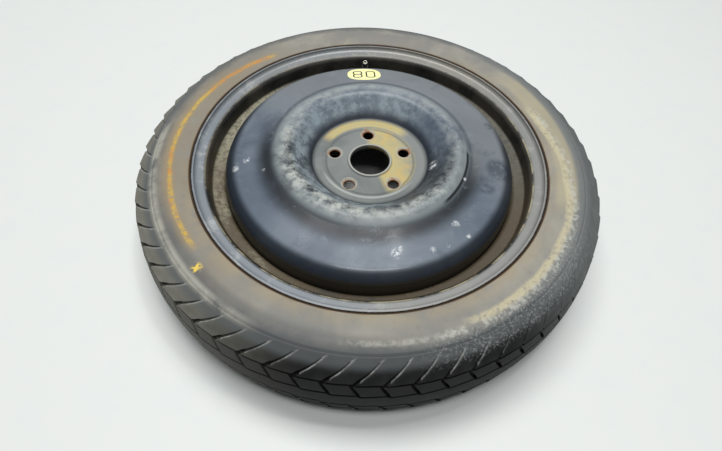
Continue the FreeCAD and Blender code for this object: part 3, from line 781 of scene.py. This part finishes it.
discPress = {
    "gauge": 4.0, "steps": 192, "segments": 8, "sharp": 32.0,
    "boltCount": 5, "boltAzimuth": 95.5, "boltCircle": 100.0, "boltRadius": 7.25, "seatRadius": 10.2,
    "seatDepth": 2.4, "boltFrom": -3.0, "seatSpare": 2.0, "boltSteps": 40,
    "boreRadius": 27.05, "boreFrom": -4.0, "boreTo": 12.0, "boreSteps": 96,
    "lipWall": 3.2, "lipHeight": 7.0, "lipFoot": 0.1, "lipFillet": 1.2, "lipDraft": 0.6, "lipSegments": 4,
    "lipInnerRound": 0.8, "lipOuterRound": 0.9, "lipFilletRound": 0.5,
    "path": [(24.0, 4.0, None), (59.0, 4.0, 5.0), (66.0, 6.8, 5.0), (76.6, 6.8, 6.0), (104.0, 35.4, 10.0),
             (119.5, 35.4, 10.0), (132.6, 28.5, 12.0), (195.35, 11.7, 22.0), (195.35, -45.0, None)],
    # each mark is radius, azimuth, height and size
    "scuffsAndHighlight": [(164.0, -170.3, 20.0, 5.0), (180.0, -166.8, 15.7, 5.0), (144.0, -160.7, 25.4, 2.5),
               (156.0, -45.5, 22.2, 5.0), (170.0, -61.3, 18.5, 4.0), (172.0, -54.6, 18.0, 3.0),
               (176.6, -44.6, 16.7, 3.0), (85.0, -7.7, 16.0, 7.0), (131.0, -20.0, 29.5, 2.5),
               # the last two marks are a painted highlight of the ceiling lamp
               (163.0, -76.5, 20.4, 6.0), (158.0, -74.0, 21.7, 3.0)],
    "smudges": [(172.0, -5.0, 18.0, 24.0), (158.0, -17.0, 21.6, 17.0), (178.0, 23.0, 16.3, 9.0)],
}


def turnedCutter(name, path, steps, spot, material):
    bm = bmesh.new()
    roundedPath(bm, path)
    turned(bm, steps)
    cleaned(bm)
    bmesh.ops.translate(bm, verts=bm.verts[:], vec=spot * mm)
    return pieceFrom(bm, name, material)


def buildDisc(material):
    s = discPress
    bm = bmesh.new()
    roundedPath(bm, s["path"], segments=s["segments"])
    turned(bm, s["steps"])
    cleaned(bm)
    top = max(bm.faces, key=lambda f: f.calc_center_median().z)
    if top.normal.z < 0:
        bmesh.ops.reverse_faces(bm, faces=bm.faces[:])
    piece = pieceFrom(bm, "discPressing", material)
    thicken(piece, s["gauge"])
    seatFoot, seatTop = s["gauge"] - s["seatDepth"], s["gauge"] + s["seatSpare"]
    bolt = [(0.0, s["boltFrom"], None), (s["boltRadius"], s["boltFrom"], None),
            (s["boltRadius"], seatFoot, None), (s["seatRadius"], s["gauge"], None),
            (s["seatRadius"] + s["seatSpare"], seatTop, None), (0.0, seatTop, None)]
    cutters = []
    for hole in range(s["boltCount"]):
        angle = math.radians(s["boltAzimuth"] + hole * 360 / s["boltCount"])
        spot = Vector((math.cos(angle), math.sin(angle), 0)) * s["boltCircle"] / 2
        cutters.append(turnedCutter("boltCutter", bolt, s["boltSteps"], spot, material))
    bore = [(0.0, s["boreFrom"], None), (s["boreRadius"], s["boreFrom"], None),
            (s["boreRadius"], s["boreTo"], None), (0.0, s["boreTo"], None)]
    cutters.append(turnedCutter("boreCutter", bore, s["boreSteps"], Vector(), material))
    for cutter in cutters:
        cut = piece.modifiers.new("hole", "BOOLEAN")
        cut.operation = "DIFFERENCE"
        cut.solver = "EXACT"
        cut.object = cutter
    settle(piece, s["sharp"])
    for cutter in cutters:
        bpy.data.objects.remove(cutter)
    return piece


def buildBoreLip(material):
    s = discPress
    inner, outer = s["boreRadius"], s["boreRadius"] + s["lipWall"]
    bm = bmesh.new()
    foot, wide, draft = s["lipFoot"], outer + s["lipFillet"], s["lipDraft"]
    roundedPath(bm, [(inner, foot, None), (inner, s["lipHeight"], s["lipInnerRound"]),
                     (outer - draft, s["lipHeight"], s["lipOuterRound"]),
                     (outer, s["gauge"] + draft, s["lipFilletRound"]), (wide, s["gauge"] - foot, None),
                     (wide, foot, None)], closed=True, segments=s["lipSegments"])
    turned(bm, s["boreSteps"])
    cleaned(bm)
    return pieceFrom(bm, "boreLip", material)


# Valve

valveShape = {
    "base": (-18.058, 206.408, -14.955), "steps": 40, "rubberSegments": 3, "stemSegments": 2,
    "rubber": [(1.7, -7.0, None), (6.8, -7.0, 1.2), (8.5, -3.5, 1.0), (8.5, -0.05, 0.4),
               (5.7, -0.05, None), (5.7, 2.65, None), (7.2, 2.65, 0.3), (7.2, 4.35, 0.8),
               (5.5, 6.05, 0.6), (5.0, 18.5, 0.5), (3.0, 18.5, None), (3.0, 3.0, None),
               (1.7, 3.0, None)],
    "stemFoot": [(1.7, 3.0, None), (3.0, 3.0, None), (3.0, 18.5, None), (3.85, 18.5, None)],
    "stemMouth": [(3.35, 27.8, 0.2), (2.65, 27.8, 0.2), (2.65, 21.5, None), (2.1, 21.5, None),
                  (2.1, 14.5, None), (1.7, 12.0, None)],
    "threadRadius": 3.85, "threadStart": 18.9, "threadEnd": 27.0, "threadPitch": 0.8, "threadDepth": 0.35,
}


def valveFrame():
    axis = -Vector(frame["joints"][0]["axis"]).normalized()
    base = Vector(valveShape["base"]) * mm
    across = axis.cross(Vector((0, 0, 1))).normalized()
    turn = Matrix((across, axis.cross(across), axis)).transposed().to_4x4()
    return Matrix.Translation(base) @ turn


def buildValveRubber(material):
    bm = bmesh.new()
    roundedPath(bm, valveShape["rubber"], closed=True, segments=valveShape["rubberSegments"])
    turned(bm, valveShape["steps"])
    cleaned(bm)
    bmesh.ops.transform(bm, matrix=valveFrame(), verts=bm.verts[:])
    return pieceFrom(bm, "valveBody", material)


def buildValveStem(material):
    s = valveShape
    crest, root = s["threadRadius"], s["threadRadius"] - s["threadDepth"]
    corners = s["stemFoot"][:]
    at = s["threadStart"]
    while at + s["threadPitch"] < s["threadEnd"]:
        corners += [(crest, at, None), (root, at + s["threadPitch"] / 2, None)]
        at += s["threadPitch"]
    corners += [(crest, s["threadEnd"], None)] + s["stemMouth"]
    bm = bmesh.new()
    roundedPath(bm, corners, closed=True, segments=s["stemSegments"])
    turned(bm, s["steps"])
    cleaned(bm)
    bmesh.ops.transform(bm, matrix=valveFrame(), verts=bm.verts[:])
    return pieceFrom(bm, "valveTube", material)


# Sticker

stickerShape = {
    "length": 50.0, "width": 38.0, "radius": 161.0, "azimuth": 96.2, "thickness": 0.15, "lift": 0.05,
    "rings": (0.0, 0.2, 0.4, 0.6, 0.8, 0.92, 1.0), "steps": 72, "squareness": 0.8, "sharp": 50.0,
    "digitHeight": 22.0, "digitWidth": 14.5, "digitSpace": 5.0, "digitStroke": 2.1, "digitCorner": 4.6,
    "digitSegments": 6, "digitThickness": 0.04, "digitLift": 0.06, "digitSharp": 30.0,
    "coneTop": 28.5, "coneRadius": 132.6, "coneSlope": 15.0,
}


def coneHeight(radius):
    s = stickerShape
    return s["coneTop"] - (radius - s["coneRadius"]) * math.tan(math.radians(s["coneSlope"]))


def layOnCone(verts, lift):
    # flat shape about the origin to the cone: x along the rim, y outwards
    s = stickerShape
    angle = math.radians(s["azimuth"] - 90)
    for v in verts:
        x, y = v.co.x / mm, v.co.y / mm + s["radius"]
        radius = math.hypot(x, y)
        above = coneHeight(radius) + lift + v.co.z / mm
        v.co = Vector((x * math.cos(angle) - y * math.sin(angle),
                       x * math.sin(angle) + y * math.cos(angle), above)) * mm


def buildSticker(material):
    s = stickerShape
    bm = bmesh.new()
    roundedPath(bm, [(share * s["length"] / 2, 0.0, None) for share in s["rings"]])
    turned(bm, s["steps"])
    cleaned(bm)
    # round to a fuller oval, then to its width
    for v in bm.verts:
        reach = v.co.xy.length
        if reach > 0:
            v.co.xy = [math.copysign(abs(part / reach) ** s["squareness"], part) * reach
                       for part in v.co.xy]
    bmesh.ops.scale(bm, vec=(1.0, s["width"] / s["length"], 1.0), verts=bm.verts[:])
    raisePlate(bm, s["thickness"])
    layOnCone(bm.verts, s["lift"])
    bmesh.ops.recalc_face_normals(bm, faces=bm.faces[:])
    return pieceFrom(bm, "speedSticker", material, s["sharp"])


def raisePlate(bm, thickness):
    # flat faces to a closed plate of that thickness
    done = bmesh.ops.extrude_face_region(bm, geom=bm.faces[:], use_keep_orig=True)
    lifted = [v for v in done["geom"] if isinstance(v, bmesh.types.BMVert)]
    bmesh.ops.translate(bm, verts=lifted, vec=(0, 0, thickness * mm))


def digitRing(bm, along, outward, tall):
    # one closed loop of a digit, a flat rounded ring
    s = stickerShape
    before = set(bm.edges)
    for shrink in (0.0, s["digitStroke"]):
        wide, high, rounding = s["digitWidth"] / 2 - shrink, tall / 2 - shrink, s["digitCorner"] - shrink
        roundedPath(bm, [(along + x * wide, outward + y * high, min(rounding, high * 0.9))
                         for x, y in ((1, 1), (-1, 1), (-1, -1), (1, -1))],
                    closed=True, segments=s["digitSegments"])
    bmesh.ops.bridge_loops(bm, edges=[e for e in bm.edges if e not in before])


def buildStickerDigits(material):
    s = stickerShape
    tall, stroke = s["digitHeight"], s["digitStroke"]
    apart = (s["digitWidth"] + s["digitSpace"]) / 2
    bm = bmesh.new()
    digitRing(bm, apart, 0.0, tall)
    digitRing(bm, -apart, (tall - stroke) / 4, (tall + stroke) / 2)
    digitRing(bm, -apart, (stroke - tall) / 4, (tall + stroke) / 2)
    # the rings are drawn upright, so they are laid flat first
    bmesh.ops.rotate(bm, cent=(0, 0, 0), matrix=Matrix.Rotation(-math.pi / 2, 3, "X"), verts=bm.verts[:])
    raisePlate(bm, s["digitThickness"])
    layOnCone(bm.verts, s["digitLift"] + s["thickness"])
    bmesh.ops.recalc_face_normals(bm, faces=bm.faces[:])
    return pieceFrom(bm, "stickerDigits", material, s["digitSharp"])


print("building finishes")
tyreRubber = tyreRubberFinish()
rimPaint = rimPaintFinish()
discPaint = discPaintFinish()
valveRubber = valveRubberFinish()
brass = dullFinish("valveBrass")
steelWire = dullFinish("springSteel")
sealRubber = dullFinish("sealRubber")

print("building tyre")
enlist(buildTyre(tyreRubber), "wheel", "tyre_rubber", "tyre")
print("building rim and disc")
enlist(buildRim(rimPaint), "wheel", "rim_paint", "rim")
enlist(buildDisc(discPaint), "wheel", "disc_paint", "wheel_disc")
enlist(buildBoreLip(discPaint), "wheel", "disc_paint")
print("building valve and sticker")
enlist(buildValveRubber(valveRubber), "wheel", "valve_rubber", "valve_rubber")
enlist(buildValveStem(valveStemFinish()), "wheel", "valve_brass", "valve_stem")
enlist(buildSticker(stickerFilmFinish()), "wheel", "sticker_film", "sticker")
enlist(buildStickerDigits(stickerInkFinish()), "wheel", "sticker_film")
kept = {"weld_beads": weldFinish(), "core_barrel": brass, "core_plug": brass, "core_pin": brass,
        "core_seal": sealRubber, "cup_washer": sealRubber, "core_spring": steelWire}
for name, material in kept.items():
    nodes[name].data.materials.clear()
    nodes[name].data.materials.append(material)


def pressSpring():
    spring = nodes["core_spring"]
    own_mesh(spring)


pressSpring()

# Studio

studio = {
    # camera fitted to the photo: eye and aim in mm, focal length and picture width in pixels
    "eye": (0.0, -503.95, 550.24), "aim": (-5.52, -119.91, 18.0), "roll": 0.0545,
    "focalPixels": 540.0, "widthPixels": 722.0, "sensor": 36.0,
    "floorSize": 8.0, "floorTint": (204, 207, 204), "grainTint": (202, 206, 204),
    "skyTint": (0.93, 0.96, 1.0), "skyStrength": 0.16,
    # name, place, aim, width, depth and power
    "panels": [("ceilingPanel", (-0.3, 0.75, 3.6), (-0.3, 0.75, 0.0), 2.4, 1.2, 124.0),
               ("domePanel", (0.2, -0.85, 3.6), (0.2, -0.85, 0.0), 1.8, 0.65, 60.0),
               ("ceilingLamp", (0.46, 0.02, 2.3), (0.0, 0.0, 0.0), 0.14, 0.14, 5.0)],
}


def buildFloor():
    bm = bmesh.new()
    bmesh.ops.create_grid(bm, x_segments=1, y_segments=1, size=studio["floorSize"] / 2)
    bmesh.ops.translate(bm, verts=bm.verts[:], vec=(0, 0, cadBox[0][2]))
    f = Finish("paleFloor")
    grain = f.noise(30.0, 4.0)
    colour = f.mix(tint(*studio["floorTint"]), tint(*studio["grainTint"]), f.step(grain, 0.4, 0.7))
    floor = pieceFrom(bm, "paleFloor", f.set(Base_Color=colour, Roughness=0.6))


def buildLights():
    world = bpy.data.worlds.new("studioSky")
    bpy.context.scene.world = world
    world.use_nodes = True
    background = world.node_tree.nodes["Background"]
    background.inputs["Color"].default_value = (*studio["skyTint"], 1.0)
    background.inputs["Strength"].default_value = studio["skyStrength"]
    for name, spot, aim, wide, deep, power in studio["panels"]:
        lamp = bpy.data.lights.new(name, "AREA")
        lamp.shape = "RECTANGLE"
        lamp.size = wide
        lamp.size_y = deep
        lamp.energy = power
        holder = bpy.data.objects.new(name, lamp)
        holder.location = spot
        holder.rotation_euler = (Vector(aim) - Vector(spot)).to_track_quat("-Z", "Y").to_euler()
        bpy.context.scene.collection.objects.link(holder)


def buildCamera():
    eye = Vector(studio["eye"]) * mm
    forward = (Vector(studio["aim"]) * mm - eye).normalized()
    right = forward.cross(Vector((0, 0, 1))).normalized()
    up = right.cross(forward)
    turn = studio["roll"]
    across = right * math.cos(turn) + up * math.sin(turn)
    upward = up * math.cos(turn) - right * math.sin(turn)
    camera = bpy.data.cameras.new("photoCamera")
    camera.sensor_width = studio["sensor"]
    camera.lens = studio["focalPixels"] * studio["sensor"] / studio["widthPixels"]
    holder = bpy.data.objects.new("photoCamera", camera)
    facing = Matrix((across, upward, -forward)).transposed().to_4x4()
    holder.matrix_world = Matrix.Translation(eye) @ facing
    bpy.context.scene.collection.objects.link(holder)
    bpy.context.scene.camera = holder


print("building studio")
buildFloor()
buildLights()
buildCamera()
bpy.context.scene.view_settings.view_transform = "Standard"
